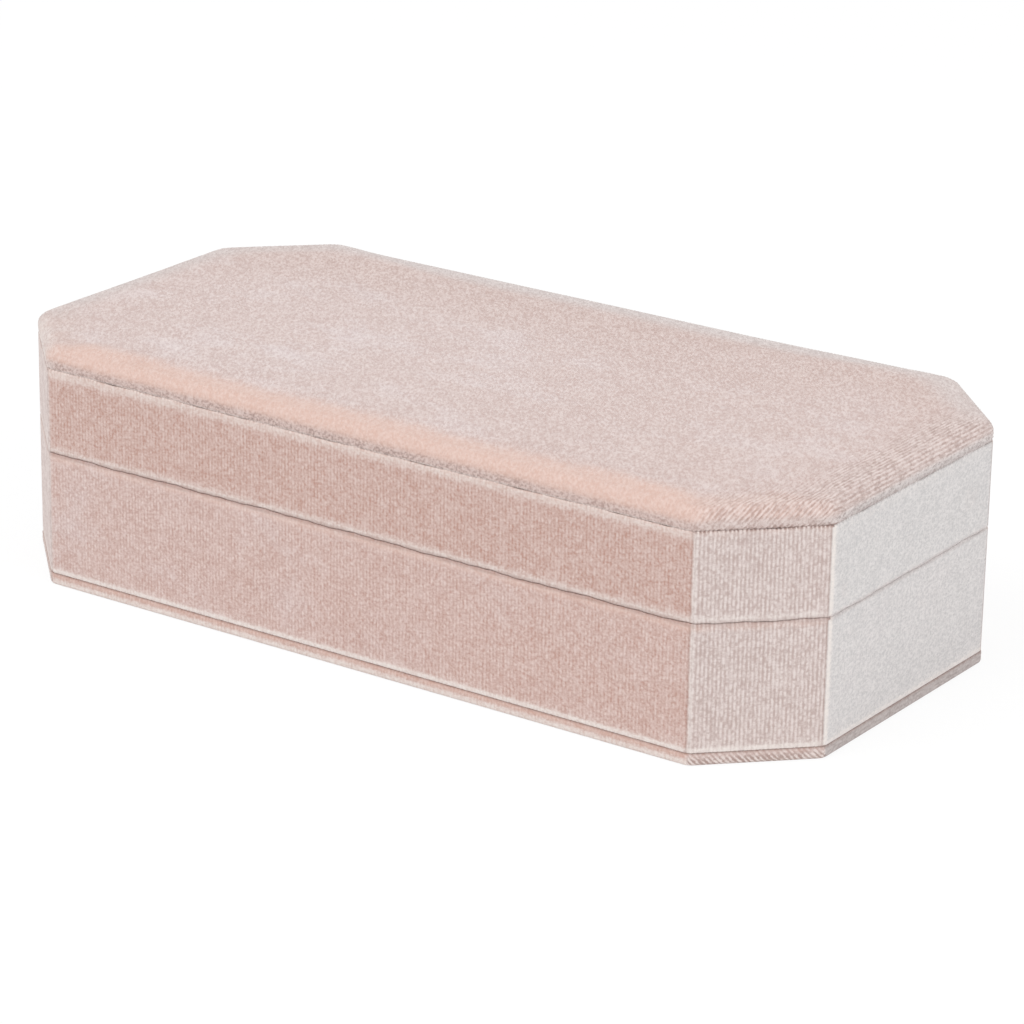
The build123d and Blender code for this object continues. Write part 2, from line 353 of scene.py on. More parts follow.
def ring(name, section):
    """Bridges the outlines at a closed section's corners, given as (inset, height)."""
    outlines = [outline(inset, level * stack_step) for level, (inset, _) in enumerate(section)]
    piece = outlines[0]
    pick(piece)
    for plan in outlines:
        plan.select_set(True)
    bpy.ops.object.join()
    piece.name = name
    edit_all()
    bpy.ops.mesh.delete(type="ONLY_FACE")
    numbers = np.arange(outline_points)
    for step in range(len(section)):
        following = (step + 1) % len(section)
        pair = [numbers + step * outline_points, numbers + following * outline_points]
        select_only(piece, "VERT", np.concatenate(pair))
        bpy.ops.mesh.bridge_edge_loops()
    leave_edit()
    points = points_of(piece)
    points[:, 2] = np.repeat([height for _, height in section], outline_points)
    move_points(piece, points)
    face_outwards()
    return piece


def bevel_edges(piece, edges, radius, segments):
    """Rounds the wanted edges of a piece."""
    select_only(piece, "EDGE", edges)
    bpy.ops.mesh.bevel(offset=radius, segments=segments, affect="EDGES", clamp_overlap=False)
    leave_edit()


def round_fold(piece, inset, height, radius, segments):
    """Rounds the edge that runs round the box at one inset and height, as cloth folds over board."""
    points = points_of(piece)
    _, depth = plan_places(points)
    on_fold = (abs(points[:, 2] - height) < tiny) & (abs(depth - inset) < edge_slack)
    bevel_edges(piece, on_fold[edges_of(piece)].all(1), radius, segments)


def cut_levels(heights):
    """Cuts the active piece all round at several heights, so that it can bend and change colour there."""
    for height in heights:
        slice_all((0, 0, height), (0, 0, 1))
    leave_edit()


# %% [markdown]
# The velvet is knitted in fine ribs, about 0.86 mm apart, and they are part
# of its shape: they catch the light one by one. So the outer face of a wall
# is subdivided until each rib has four points, and the points are moved out
# and in. The side edges are chosen by side, because the two ends of a quad
# have to be cut the same number of times.

# %% Ribs in the cloth
rib_height = 0.05 * MM
points_per_rib = 4
most_cuts = 99
longest_arc = 1 * MM
waver_share = 0.12


def smooth(values, low, high):
    """Rises smoothly from 0 at low to 1 at high."""
    share = np.clip((values - low) / (high - low), 0, 1)
    return share * share * (3 - 2 * share)


def between(values, rise, fall):
    """Rises smoothly over one range and falls again over another."""
    return smooth(values, *rise) * (1 - smooth(values, *fall))


def near(values, level, full, none):
    """1 up to one distance from a level, falling smoothly to 0 at another."""
    return 1 - smooth(abs(values - level), full, none)


def bell(values, middle, reach):
    """1 at the middle, falling off softly on both sides within the reach."""
    return np.exp(-(((values - middle) / reach) ** 2))


def end_share(side):
    """0 on the front and rear walls, 0.5 on the cut corners and 1 on the ends."""
    return abs(side_out[side][:, 0]) ** 2


def by_facing(facing, strengths):
    """Picks one of three strengths, for the front, the cut corners and the ends."""
    return np.interp(facing, (0, 0.5, 1), strengths)


def subdivide_along(piece, skin_depth):
    """Cuts the outer face's level edges into pieces a quarter of a rib long."""
    step = rib_pitch / points_per_rib
    for side in range(9):
        for coarse in (True, False):
            ends = points_of(piece)[edges_of(piece)]
            run = ends[:, 1] - ends[:, 0]
            length = np.linalg.norm(run, axis=1)
            on_side, depth = plan_places(ends.mean(1))
            level = abs(run[:, 2]) < 1e-6
            round_the_box = abs((run[:, :2] * side_out[on_side]).sum(1)) < 0.3 * length
            outer = level & (depth < skin_depth) & round_the_box
            arc = length < longest_arc
            if side == 8:
                chosen, cuts = outer & arc & (length > 1.5 * step), 0 if coarse else 1
            else:
                chosen = outer & ~arc & (on_side == side)
                if not chosen.any():
                    continue
                parts = np.median(length[chosen]) / step
                cuts = math.ceil(parts / most_cuts) - 1 if coarse else round(parts) - 1
            if cuts > 0 and chosen.any():
                select_only(piece, "EDGE", chosen)
                bpy.ops.mesh.subdivide(number_cuts=cuts)
                leave_edit()


def rib_wave(distance, height):
    """How far out a rib stands, from -1 to 1, with the slight waver of a knit."""
    waver = waver_share * rib_pitch * np.sin(height / (1.9 * MM) + 3 * np.sin(distance / (9 * MM)))
    return np.cos(2 * math.pi * (distance + waver) / rib_pitch)


def press_ribs(piece, share):
    """Moves a wall's points out and in by the ribs, as far as share says for each point."""
    points = points_of(piece)
    side, _ = plan_places(points)
    distance = distance_round(points, side)
    from_start = distance - side_start[side]
    to_corner = np.minimum(from_start, side_length[side] - from_start)
    share = share * smooth(to_corner, 0.2 * MM, 0.9 * MM) * by_facing(end_share(side), (0.6, 0.75, 0.4))
    push_out(piece, rib_wave(distance, points[:, 2]) * share * rib_height)


# %% [markdown]
# Two things tell a finish about its cloth. A UV map says, in metres, where
# the cloth lay before it was folded, across its ribs and along them. Numbers
# at the vertices say how the pile lies and where light and shade are painted
# on it: a pale painted sheen on folds, a dark painted shade in gaps.

# %% The cloth's map and its marks
crease_strength = 0.75
bright_strength = 1.35


def lay_cloth(piece, across, along):
    """Makes the map from places per vertex, or per face corner where the cloth has a seam."""
    if len(across) == len(piece.data.vertices):
        vertex = read(piece.data.loops, "vertex_index", 1, int)
        across, along = across[vertex], along[vertex]
    layer = piece.data.uv_layers.get("cloth") or piece.data.uv_layers.new(name="cloth")
    layer.data.foreach_set("uv", np.stack([across, along], 1).astype(np.float32).ravel())


def corner_sides(piece):
    """For each face corner: its point, and the side of the plan that its face is on."""
    side_of_face, _ = plan_places(read(piece.data.polygons, "center", 3))
    total = read(piece.data.polygons, "loop_total", 1, int)
    vertex = read(piece.data.loops, "vertex_index", 1, int)
    return points_of(piece)[vertex], np.repeat(side_of_face, total)


def lay_cloth_round(piece):
    """Lays the cloth round the box, its ribs upright, face by face so that it has no jump."""
    corner, side = corner_sides(piece)
    _, depth = plan_places(corner)
    lay_cloth(piece, distance_round(corner, side), corner[:, 2] - depth)


def lay_cloth_flat(piece):
    """Lays the cloth flat over a piece, its ribs along Y."""
    points = points_of(piece)
    lay_cloth(piece, points[:, 0], points[:, 1] + points[:, 2])


def mark(piece, **marks):
    """Stores numbers at a piece's vertices, each an array or one number for all."""
    for name, values in marks.items():
        made = piece.data.attributes.new(name, "FLOAT", "POINT")
        made.data.foreach_set("value", np.full(len(made.data), values, np.float32))


def mark_wall(piece, rim, folds, seams, deeper=0):
    """Marks a wall's cloth: a paler painted sheen on its folds and edges, brown painted shade where it turns
    into a gap.

    Each fold and seam is given by its level, its reach from there and its three strengths.
    The front can be given a little painted shade.
    """
    points = points_of(piece)
    heights = points[:, 2]
    side, depth = plan_places(points)
    facing = end_share(side)
    from_start = distance_round(points, side) - side_start[side]
    to_end = side_length[side] - from_start
    # Painted highlight: a pale line down the first edge of each side, and painted sheen along the folds.
    bright = by_facing(facing, (0.3, 0.3, 0.9)) * MM
    fold = [bright_strength * bell(from_start, 0.3 * MM, bright)]
    for level, reach, strengths in folds:
        fold.append(by_facing(facing, strengths) * near(heights, level, 0.55 * reach, 1.2 * reach))
    # Painted shade: brown in the corner creases, where the rim opens into the split, and where the cloth
    # turns into the gap.
    crease = np.where(side == front_left, 0, crease_strength) * bell(to_end, 0.2 * MM, 0.4 * MM)
    at_rim = by_facing(facing, (0.4, 0.25, 0.2)) * near(heights, rim, 0.15 * MM, 0.5 * MM)
    gap = [crease, at_rim, smooth(depth, 0.3 * MM, 1.2 * MM), by_facing(facing, (deeper, 0, 0))]
    seam = [0 * heights]
    # Painted shade: dotted along the seams, and at their ends by the corners.
    for level, reach, strengths in seams:
        seam.append(by_facing(facing, strengths) * near(heights, level, 0.3 * reach, reach))
        gap.append(bell(to_end, 0, 0.8 * MM) * bell(heights, level, 0.6 * MM))
    plain = by_facing(facing, (0.6, 0.1, 1))
    mark(piece, fold=np.max(fold, 0), gap=np.max(gap, 0), seam=np.max(seam, 0), end=facing, plain=plain)


def finish_piece(piece, body, nodes, material):
    """Shades a piece, gives it its finish, hides the parts of the frame that it stands for, sets what it
    rides on, and prints its size.
    """
    pick(piece)
    bpy.ops.object.shade_smooth()
    piece.data.materials.clear()
    piece.data.materials.append(material)
    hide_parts(*nodes)
    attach(piece, body)
    size = np.ptp(points_of(piece), axis=0) / MM
    print(piece.name, len(piece.data.polygons), "faces,", [round(float(s), 1) for s in size], "mm")


# %% [markdown]
# Effects that several finishes use are node groups. The first turns the
# cloth's UV map into ribs, and breaks each rib into its own row of tufts like
# grains of rice. The second gives the pile its fine grain, and wider clouds
# where the pile lies another way.

# %% Node groups
pile_lean = math.radians(35)
row_step = 7.3 * MM


def start_group(name, inputs, outputs):
    """Starts a node group and returns it with its inputs' sockets and its outputs' node."""
    tree = bpy.data.node_groups.new(name, "ShaderNodeTree")
    for label, kind in inputs.items():
        tree.interface.new_socket(name=label, in_out="INPUT", socket_type="NodeSocket" + kind)
    for label in outputs:
        tree.interface.new_socket(name=label, in_out="OUTPUT", socket_type="NodeSocketFloat")
    return tree, tree.nodes.new("NodeGroupInput").outputs, tree.nodes.new("NodeGroupOutput")


def noise(vector, size, stretch=(1, 1, 1), detail=2.0, roughness=0.5, turn=0.0):
    """A noise with a grain of a size in metres, stretched along axes that are turned about Z."""
    scale = [size * s for s in stretch]
    placed = {"Vector": vector, "Rotation": (0, 0, turn), "Scale": scale}
    place = join("Mapping", placed, vector_type="TEXTURE").outputs[0]
    grain = {"Vector": place, "Scale": 1, "Detail": detail, "Roughness": roughness}
    return join("TexNoise", grain).outputs["Fac"]


def ramp(value, low, high):
    """Stretches the range from low to high over 0 to 1, smoothly."""
    stretch = {"Value": value, "From Min": low, "From Max": high}
    return join("MapRange", stretch, interpolation_type="SMOOTHSTEP").outputs[0]


def mix(share, first, second):
    """Mixes two colours by a socket or number."""
    return join("Mix", {0: share, 6: first, 7: second}, data_type="RGBA").outputs[2]


def blend_of(*pairs):
    """Adds up several sockets, each times its share."""
    total = calc("MULTIPLY", *pairs[0])
    for value, share in pairs[1:]:
        total = calc("MULTIPLY_ADD", value, share, total)
    return total


velvet_ribs, given, result = start_group(
    "velvet_ribs", {"Cloth": "Vector", "Pitch": "Float"}, ("Crest", "Tuft"))
cloth = join("SeparateXYZ", {0: given["Cloth"]}).outputs
ribs = calc("DIVIDE", cloth[0], given["Pitch"])
wave = calc("COSINE", calc("MULTIPLY", ribs, 2 * math.pi))
row = calc("MULTIPLY", calc("FLOOR", calc("ADD", ribs, 0.5)), row_step)
in_row = join("CombineXYZ", {0: row, 1: cloth[1]}).outputs[0]
feed(result, {
    "Crest": calc("MULTIPLY_ADD", wave, 0.5, 0.5),
    "Tuft": ramp(noise(in_row, 0.85 * MM, detail=2.5, roughness=0.7), 0.34, 0.67),
})

velvet_pile, given, result = start_group(
    "velvet_pile", {"Cloth": "Vector", "Place": "Vector"}, ("Grain", "Streak", "Cloud", "Drift"))
place = given["Place"]
fine = noise(place, 0.6 * MM, (1, 2.6, 1), 3.0, 0.75, pile_lean)
streaks = noise(given["Cloth"], 0.7 * MM, (0.8, 2.6, 1), 1.5, 0.6)
wider = noise(place, 2.4 * MM, (1, 2.4, 1.2), 1.0, 0.5, pile_lean)
clouds = noise(place, 16 * MM, (1.4, 0.8, 1), 3.0, 0.55)
feed(result, {
    "Grain": ramp(blend_of((fine, 0.9), (wider, 0.1)), 0.34, 0.66),
    "Streak": ramp(blend_of((streaks, 0.45), (fine, 0.4), (wider, 0.15)), 0.38, 0.62),
    "Cloud": ramp(clouds, 0.42, 0.75),
    "Drift": noise(place, 6 * MM),
})
print("node groups:", [group.name for group in bpy.data.node_groups])

# %% [markdown]
# The velvet itself. It is pinker on the front, paler on the cut corners and
# greyish white on the ends. That is a painted sheen, for the way the light from
# the right catches the leaning pile on the ends, and the cloth keeps it from
# whatever side it is seen. Folds get a pale painted sheen, and gaps a brown
# painted shade. The pieces store where all that is, as numbers from 0 to 1 at
# their vertices: the end colour, a peach band of painted light, pale crushed
# patches with painted light, the sheen on folds, painted shade in flecks, in
# gaps and along seams, and plain where the ribs hardly show. Past 1, the
# painted shade turns its dark flecks into an even tone. Where even is 1, a rib
# isn't broken into tufts. Rib crests are painted lighter and hollows darker. A
# sheen in the shader lightens the cloth where it is seen at a flat angle.

# %% Velvet
def srgb(red, green, blue):
    """A colour as a screen shows it, turned into the linear values that Blender mixes."""
    values = [c / 255 for c in (red, green, blue)]
    return (*[v / 12.92 if v <= 0.04045 else ((v + 0.055) / 1.055) ** 2.4 for v in values], 1)


# Tones of the velvet, most of them for painted light and shade.
peach_tone = srgb(226, 184, 167)
crushed_tone = srgb(231, 220, 222)
deep_tone = srgb(118, 82, 72)
tip_tone = srgb(240, 232, 229)
fuzz_tone = srgb(238, 230, 225)
shade_tone = srgb(138, 122, 118)
gap_tone = srgb(148, 118, 109)
sheen_tone = srgb(255, 246, 242)
cloth_marks = ("end", "peach", "crushed", "fold", "shade", "gap", "seam", "plain", "even")


def start_material(name, roughness):
    """Starts a material and returns it with its tree and its Principled shader."""
    made = bpy.data.materials.new(name)
    made.use_nodes = True
    shader = made.node_tree.nodes["Principled BSDF"]
    return made, made.node_tree, feed(shader, {"Roughness": roughness})


def bump(height, distance, strength):
    """A normal bumped by a height of 0 to 1 times the distance."""
    relief = {"Strength": strength, "Distance": distance, "Height": height}
    return join("Bump", relief).outputs[0]


def object_place(tree):
    """The place on the object, for a pattern to be read at."""
    return add_node(tree, "TexCoord").outputs["Object"]


def velvet(name, front, end, rib_bump):
    """A ribbed velvet, by its colour on the front, its colour on the ends with their painted sheen, and how
    far its ribs are bumped.
    """
    made, tree, shader = start_material(name, 0.9)
    marks = {m: add_node(tree, "Attribute", attribute_name=m).outputs["Fac"] for m in cloth_marks}
    cloth = add_node(tree, "UVMap", uv_map="cloth").outputs[0]
    rib = join("Group", {"Cloth": cloth, "Pitch": rib_pitch}, node_tree=velvet_ribs).outputs
    pile = join("Group", {"Cloth": cloth, "Place": object_place(tree)}, node_tree=velvet_pile).outputs
    crest = rib["Crest"]
    ribs_seen = calc("SUBTRACT", 1.0, marks["plain"])
    grain = blend_of((pile["Grain"], marks["plain"]), (pile["Streak"], ribs_seen))

    # Painted sheen: the ends and cut corners are mixed towards the greyish white end colour.
    tone = mix(marks["end"], front, end)
    # Painted light: a peach band, ragged at its edge, where the light falls on shoulders and folds.
    ragged = calc("MULTIPLY_ADD", pile["Drift"], 0.6, -0.3)
    peach = ramp(calc("ADD", marks["peach"], ragged), 0.05, 1.0)
    tone = mix(calc("MULTIPLY", peach, 0.95), tone, peach_tone)
    # Pale patches of crushed pile, with painted light added by where they are stored.
    patches = ramp(blend_of((grain, 0.25), (pile["Cloud"], 0.75)), 0.1, 0.95)
    patches = calc("MULTIPLY_ADD", patches, 0.4, 0.25)
    tone = mix(calc("MULTIPLY", patches, marks["crushed"]), tone, crushed_tone)

    # Painted light and shade on the ribs: crests lighter, hollows darker, mixed with the pile's grain.
    tufts = blend_of((crest, 0.25), (calc("MULTIPLY", rib["Tuft"], crest), 1.1))
    whole = blend_of((crest, 0.8), (tufts, -1.0))
    tufts = calc("MULTIPLY_ADD", whole, marks["even"], tufts)
    ribs_lit = calc("MULTIPLY", calc("SUBTRACT", tufts, 0.4), ribs_seen)
    lit = blend_of((ribs_lit, 0.78), (calc("SUBTRACT", grain, 0.5), 0.74))
    lit = calc("MULTIPLY_ADD", lit, calc("MULTIPLY_ADD", peach, -0.45, 1.0), 0.5)
    tone = mix(lit, mix(0.24, tone, deep_tone), mix(0.55, tone, tip_tone))

    # Painted sheen on folds, in the pale fold tone.
    fuzz = calc("MULTIPLY", marks["fold"], blend_of((grain, 0.32), (marks["fold"], 0.4)))
    tone = mix(calc("MINIMUM", fuzz, 1.0), tone, fuzz_tone)
    # Painted shade: dark flecks, turning into an even tone where the shade passes 1.
    flecks = calc("MULTIPLY_ADD", ramp(grain, 0.55, 0.05), 0.5, 0.02)
    veil = calc("MAXIMUM", calc("SUBTRACT", marks["shade"], 1.0), 0.0)
    spots = calc("MULTIPLY", calc("PINGPONG", marks["shade"], 1.0), flecks)
    tone = mix(calc("MULTIPLY_ADD", veil, 0.5, spots), tone, shade_tone)
    # Painted shade: brown in gaps, and in dots along seams where the rib hollows are dark.
    dots = ramp(blend_of((crest, 0.45), (grain, 0.55)), 0.75, 0.3)
    dark = calc("MAXIMUM", marks["gap"], calc("MULTIPLY", marks["seam"], dots))

    relief = blend_of((grain, 0.6), (crest, rib_bump))
    feed(shader, {
        "Base Color": mix(dark, tone, gap_tone), "Normal": bump(relief, 0.12 * MM, 0.7),
        "Sheen Weight": 0.35, "Sheen Roughness": 0.45, "Sheen Tint": sheen_tone, "Specular IOR Level": 0.2,
    })
    return made


# The ends' colours are painted sheen: greyish white on the outer velvet, paler on the linings and rolls.
outer_velvet = velvet("outer_velvet", srgb(205, 162, 148), srgb(211, 213, 214), 0.1)
lining_velvet = velvet("lining_velvet", srgb(206, 168, 156), srgb(206, 178, 168), 1.0)
roll_velvet = velvet("roll_velvet", srgb(208, 170, 158), srgb(208, 180, 170), 1.0)
print("velvets:", outer_velvet.name, lining_velvet.name, roll_velvet.name)

# %% [markdown]
# The case's cover is one strip of velvet round the wall, folded over the rim
# and down to the lining. Its section is an L: the skin up the outside and the
# turn-in over the top of the board. The fold is a soft round, and the foot
# has a small one where the cloth is tucked behind the bottom board's edge.
# The rim waves a little, and sinks a little round the front right corner.

# %% Cover of the case wall
skin = 0.6 * MM
turn_in = 3 * MM
outer_skin = 0.55 * MM
rim_bulge = 0.16 * MM
rim_waves = ((0.09, 4.3, 0), (0.08, 1.9, 1.7), (0.04, 0.63, 0.6))
sag_depth = 0.33 * MM
base_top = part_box("bottom_cover")[1].z
case_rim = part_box("case_wall_cover")[1].z
case_levels = [base_top + d * MM for d in (0.5, 0.9, 1.5, 3, 6, 10, 15, 20, 24)]
case_levels += [case_rim - d * MM for d in (2.2, 1.4, 0.9)]


def wall_strip(name, foot, rim, folds, levels):
    """Makes a wall's cover from its foot to its rim, with folds as (height, radius, segments)."""
    lap = rim - math.copysign(skin, rim - foot)
    piece = ring(name, [(0, foot), (0, rim), (turn_in, rim), (turn_in, lap), (skin, lap), (skin, foot)])
    for height, radius, segments in folds:
        round_fold(piece, 0, height, radius, segments)
    cut_levels(levels)
    subdivide_along(piece, outer_skin)
    return piece


def wave_rim(piece, rim, bulge):
    """Lets a rim wave by under a tenth of a millimetre, as folded cloth does, and bulge upwards."""
    points = points_of(piece)
    side, _ = plan_places(points)
    distance = distance_round(points, side)
    lift = sum(size * MM * np.sin(distance / (length * MM) + start) for size, length, start in rim_waves)
    lift += bulge * by_facing(end_share(side), (1, 1.05, 1.2))
    points[:, 2] += lift * near(points[:, 2], rim, 0, 2.5 * MM)
    move_points(piece, points)


def sag(piece, rim):
    """Lets a rim lie up to a third of a millimetre lower round the front right corner."""
    points = points_of(piece)
    distance = distance_round(points, plan_places(points)[0])
    low = between(distance, (60 * MM, 140 * MM), (195 * MM, 255 * MM))
    points[:, 2] -= sag_depth * low * near(points[:, 2], rim, 0.5 * MM, 6 * MM)
    move_points(piece, points)


case_folds = [(case_rim, 0.45 * MM, 5), (base_top, 0.3 * MM, 3)]
case_cover = wall_strip("case_wall_velvet", base_top, case_rim, case_folds, case_levels)
wave_rim(case_cover, case_rim, rim_bulge)
heights = points_of(case_cover)[:, 2]
ribbed = between(heights, (base_top, base_top + 0.8 * MM), (case_rim - 1.2 * MM, case_rim - 0.3 * MM))
press_ribs(case_cover, ribbed)
lay_cloth_round(case_cover)
# Painted sheen on the fold at the foot, and painted shade along the seam there and in the gap at the rim.
mark_wall(
    case_cover, case_rim,
    folds=[(base_top, 1.6 * MM, (1.25, 1.15, 1.0))],
    seams=[(base_top, 0.25 * MM, (0.4, 0.5, 0.3))])
points = points_of(case_cover)
facing = end_share(plan_places(points)[0])
to_left = 1 - smooth(points[:, 0], -70 * MM, 60 * MM)
# Painted light: a peach band on the rim fold, and paler crushed patches on the front, more to the left, and
# on the ends.
mark(
    case_cover, peach=0.8 * (1 - facing) * bell(heights, case_rim - 0.6 * MM, 1.1 * MM),
    crushed=by_facing(facing, (1, 0, 0)) * (0.25 + 0.4 * to_left) + 0.2 * (facing > 0.9))
sag(case_cover, case_rim)
finish_piece(case_cover, "case", ["case_wall_cover"], outer_velvet)

# %% [markdown]
# The lid's cover is the same strip turned over: its turn-in faces down onto
# the case, and its top edge is a soft welt under the pad. Along the front the
# pad's edge hangs a little over the wall, and the welt goes down with it.

# %% Cover of the lid wall
lid_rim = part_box("lid_wall_cover")[0].z
lid_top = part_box("lid_wall_cover")[1].z
lid_levels = [lid_rim + d * MM for d in (0.9, 1.4, 2.2, 4, 7, 10, 13.5)]
lid_levels += [lid_top - d * MM for d in (2.6, 1.6, 1.0, 0.7)]
welt_sink = 0.05 * MM
most_hang = 0.22 * MM


def hang(x, side):
    """How far the pad hangs over the wall's edge, on the front and more towards the right."""
    return most_hang * smooth(x, -80 * MM, 0) * (side == 0)


lid_folds = [(lid_rim, 0.4 * MM, 5), (lid_top, 0.45 * MM, 4)]
lid_cover = wall_strip("lid_wall_velvet", lid_top, lid_rim, lid_folds, lid_levels)
wave_rim(lid_cover, lid_rim, -rim_bulge)
wave_rim(lid_cover, lid_top, -welt_sink)
points = points_of(lid_cover)
side, _ = plan_places(points)
facing = end_share(side)
points[:, 2] -= hang(points[:, 0], side) * smooth(points[:, 2], lid_top - 4 * MM, lid_top - 0.5 * MM)
move_points(lid_cover, points)
ribbed = between(
    points[:, 2], (lid_rim + 0.5 * MM, lid_rim + 1.6 * MM), (lid_top - 1.4 * MM, lid_top - 0.4 * MM))
press_ribs(lid_cover, ribbed)
lay_cloth_round(lid_cover)
# Painted sheen on the rim and the welt, painted shade along the welt's seam, in the split and a little over
# the whole front.
mark_wall(
    lid_cover, lid_rim,
    folds=[(lid_rim, 1.6 * MM, (0.95, 0.8, 0.3)), (lid_top, 2.4 * MM, (0.85, 0.3, 0.4))],
    seams=[(lid_top, 0.6 * MM, (0.25, 0.7, 0.2))], deeper=0.05)
# Painted light: a peach band along the welt.
mark(lid_cover, peach=0.6 * (1 - facing) * bell(points[:, 2], lid_top, 1.8 * MM))
sag(lid_cover, lid_rim)
finish_piece(lid_cover, "lid", ["lid_wall_cover"], outer_velvet)

# %% [markdown]
# The bottom board is wrapped from below: one piece of velvet is drawn up over
# its edge, so the ribs run straight up the long edges, slant across the cut
# corners and lie flat along the ends. The cloth's map follows that: how far
# along X a point lay before the cloth was folded up. The underside stays plain.

# %% Cover of the bottom board
board_out = -0.1 * MM
hem_inset = 9.6 * MM
board_side = 0.2 * MM
edge_skin = 0.15 * MM

base_cover = ring("bottom_board_velvet", [
    (board_out, base_top), (board_out, 0), (hem_inset, 0),
    (hem_inset, skin), (board_side, skin), (board_side, base_top),
])
round_fold(base_cover, board_out, base_top, 0.4 * MM, 4)
round_fold(base_cover, board_out, 0, 0.7 * MM, 4)
cut_levels([d * MM for d in (1.0, 1.35, 1.7, 2.0)])
subdivide_along(base_cover, edge_skin)
corner, side = corner_sides(base_cover)
lay_cloth(base_cover, *(corner[:, :2] + side_out[side] * corner[:, 2:]).T)

points = points_of(base_cover)
height = points[:, 2]
side, depth = plan_places(points)
facing = end_share(side)
outer_face = (1 - smooth(depth, -0.1 * MM, 0.2 * MM)) * smooth(height, 0.1 * MM, 0.6 * MM)
across = points[:, 0] + side_out[side][:, 0] * height
wave = np.cos(2 * math.pi * across / rib_pitch)
push_out(base_cover, wave * outer_face * by_facing(facing, (0.35, 1.2, 0.2)) * rib_height)
off_the_table = smooth(height, 0.01 * MM, 0.1 * MM)
facing = facing * off_the_table
lower = off_the_table * (1 - smooth(height, 1.1 * MM, 2.1 * MM))
# Painted sheen on the lower edge, a peach band of painted light below the top fold, painted shade under the
# wall, in the rib hollows of the cut corners and over the ends.
mark(
    base_cover, end=facing * 0.8, peach=0.6 * off_the_table * (1 - lower) * (1 - facing),
    gap=0.5 * smooth(height, 2.25 * MM, 2.6 * MM), fold=by_facing(facing, (1.15, 0.6, 0)) * lower,
    seam=by_facing(facing, (0, 0.5, 0)) * lower, shade=by_facing(facing, (0, 0, 1.75)),
    plain=by_facing(facing, (0.6, 0, 0.4)))
finish_piece(base_cover, "case", ["bottom_cover"], outer_velvet)

# %% [markdown]
# The pad is a sheet of velvet drawn over foam. It starts flat, as the real
# cloth does: a fine grid with its corners cut off, its columns a quarter of a
# rib apart, its rows gathered where it will bend. Every point then goes where
# wrapping carries it, over the shoulder, down the side and in at the foot. A
# coarse twin is made in the same way, blown up a little with cloth
# simulation, and the fine sheet follows it.

# %% The pad's sheet
pad_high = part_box("lid_pad_cover")[1]
shoulder = 2.75 * MM
crown = 0.6 * MM
side_drop = 1.35 * MM
draw_in = 0.2 * MM
draw_drop = 0.7 * MM
tuck_length = math.hypot(draw_in, draw_drop)
shoulder_arc = shoulder * math.pi / 2
flap = shoulder_arc + side_drop + tuck_length
pad_flat_top = pad_high.z - crown
plateau = side_distance - shoulder
sheet_length = half_length - shoulder + flap
sheet_width = half_width - shoulder + flap
least_bend = 2.6 * MM
more_bend = 3.4 * MM
inner_rows = 30 * MM
row_gap = 2.4 * MM
twin_columns = 90


def sheet_rows(corner_step, flap_step):
    """The places of a sheet's rows, closer where it bends."""
    rows = [0.0]
    stretches = ((inner_rows, row_gap), (half_width - shoulder, corner_step), (sheet_width, flap_step))
    for end, step in stretches:
        count = max(round((end - rows[-1]) / step), 1)
        rows += list(np.linspace(rows[-1], end, count + 1)[1:])
    return np.array([-r for r in rows[:0:-1]] + rows)


def flat_sheet(name, columns, rows):
    """Adds a flat octagonal grid with that many columns, and rows at those places."""
    deselect()
    bpy.ops.mesh.primitive_grid_add(x_subdivisions=columns, y_subdivisions=len(rows) - 1, size=2)
    sheet = bpy.context.object
    sheet.name = name
    points = points_of(sheet)
    number = np.rint((points[:, 1] + 1) / 2 * (len(rows) - 1)).astype(int)
    points[:, 0] *= sheet_length
    points[:, 1] = rows[number]
    move_points(sheet, points)
    for side in cut_corners:
        way = Vector((*side_out[side], 0))
        slice_all(way * (plateau[side] + flap), way, clear_outer=True)
    leave_edit()
    return sheet


def wrap(points):
    """Where each point of the flat sheet comes to lie on the pad, and its side and unwrapped reach."""
    reach_of = points[:, :2] @ side_out.T - plateau
    side = reach_of.argmax(1)
    reach = reach_of.max(1)
    angle = np.clip(reach / shoulder, 0, math.pi / 2)
    below = np.clip(reach - shoulder_arc, 0, side_drop)
    tuck = np.clip((reach - shoulder_arc - side_drop) / tuck_length, 0, 1)
    out = np.where(reach < 0, reach, shoulder * np.sin(angle) - draw_in * tuck)
    height = pad_flat_top - shoulder * (1 - np.cos(angle)) - below - draw_drop * tuck
    slope = math.tan(half_corner)
    along = (points[:, :2] * side_along[side]).sum(1) - side_middle[side]
    half_plateau = side_length[side] / 2 - shoulder * slope
    half_flat = half_plateau + reach * slope
    half_now = half_plateau + out * slope
    spare = (half_flat - half_now) * smooth(abs(along), half_flat - 7 * MM, half_flat)
    distance = abs(along) - spare
    rounding = least_bend + more_bend * (1 - smooth(reach, 1.5 * MM, shoulder_arc))
    rounding = rounding * smooth(reach, -5 * MM, 0) + 1e-9
    tangent = rounding * slope
    bend = np.clip(1 - (half_now - distance) / tangent, 0, 1) * half_corner
    on_bend = bend > 0
    distance = np.where(on_bend, half_now - tangent + rounding * np.sin(bend), distance)
    inward = np.where(on_bend, rounding * (1 - np.cos(bend)), 0)
    from_middle = (plateau[side] + out - inward)[:, None] * side_out[side]
    placed = from_middle + (side_middle[side] + np.sign(along) * distance)[:, None] * side_along[side]
    return np.column_stack([placed, height]), side, reach


